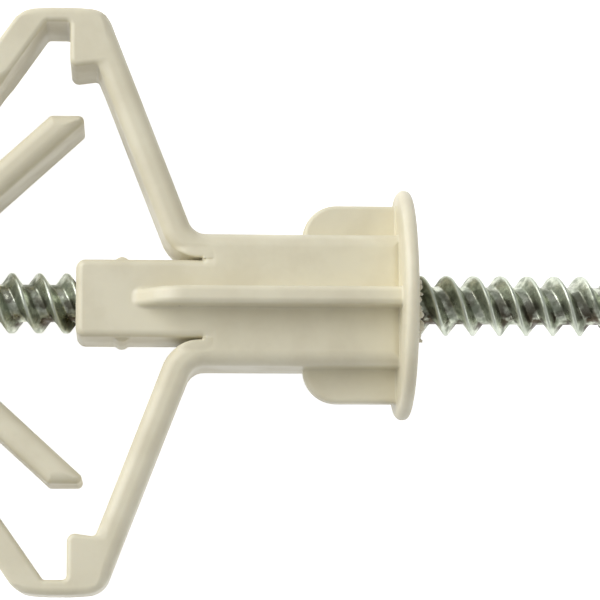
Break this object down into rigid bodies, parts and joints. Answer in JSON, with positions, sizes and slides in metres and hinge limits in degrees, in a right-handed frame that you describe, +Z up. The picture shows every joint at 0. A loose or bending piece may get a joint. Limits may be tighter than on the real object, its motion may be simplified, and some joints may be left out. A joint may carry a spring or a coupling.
{
  "type": "cavity wall plug",
  "caption": "One-piece plastic cavity wall plug with two open folding wings, anti-turn fins and a flange, with its countersunk two-start screw.",
  "frame": {"origin": "centre of the bounding box's bottom face, on the table it lies on", "axes": "+X along the screw towards its head, level with the table; +Y in the plane of the wings, level too; +Z up. The axis of plug and screw rises 7 degrees towards the head, because the plug lies on the rim of its flange and the foot of its tail"},
  "size_m": [0.06, 0.0386, 0.0153],
  "materials": {
    "moulding": "satin moulded polyamide, off-white",
    "zinc_steel": "bright blue zinc plating"
  },
  "bodies": {
    "plug": {"plug": "moulding"},
    "screw": {"screw": "zinc_steel"}
  },
  "joints": [
    {"name": "screw_turn", "type": "hinge", "parent": "plug", "child": "screw", "pos_m": [0.0113, 0, 0.00756], "axis": [-0.9935, 0, -0.1137], "range_deg": [-4290, 1470]}
  ]
}
